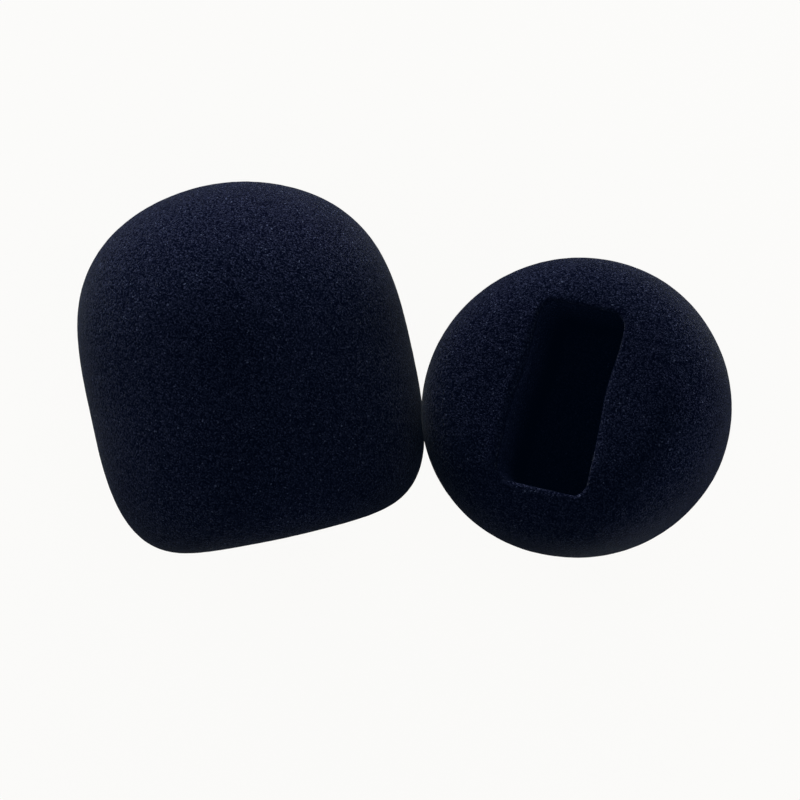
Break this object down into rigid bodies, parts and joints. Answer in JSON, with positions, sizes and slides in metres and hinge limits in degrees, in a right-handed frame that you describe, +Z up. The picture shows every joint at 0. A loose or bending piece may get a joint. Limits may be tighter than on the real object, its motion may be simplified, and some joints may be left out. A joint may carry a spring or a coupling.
{
  "type": "foam microphone shield pair",
  "caption": "Domed dark foam microphone shields with a deep rectangular slot in the base, one lying on its flank and one standing on its dome.",
  "frame": {"origin": "on the table, under the middle of the pair's outline", "axes": "+X from the lying shield to the standing one, +Y away from the lying shield's base, +Z up"},
  "size_m": [0.1902, 0.1092, 0.0968],
  "materials": {
    "foam": "navy-black open-cell foam, fine grained and velvety"
  },
  "bodies": {
    "root": {"lying_foam_shield": "foam", "standing_foam_shield": "foam"}
  },
  "joints": []
}
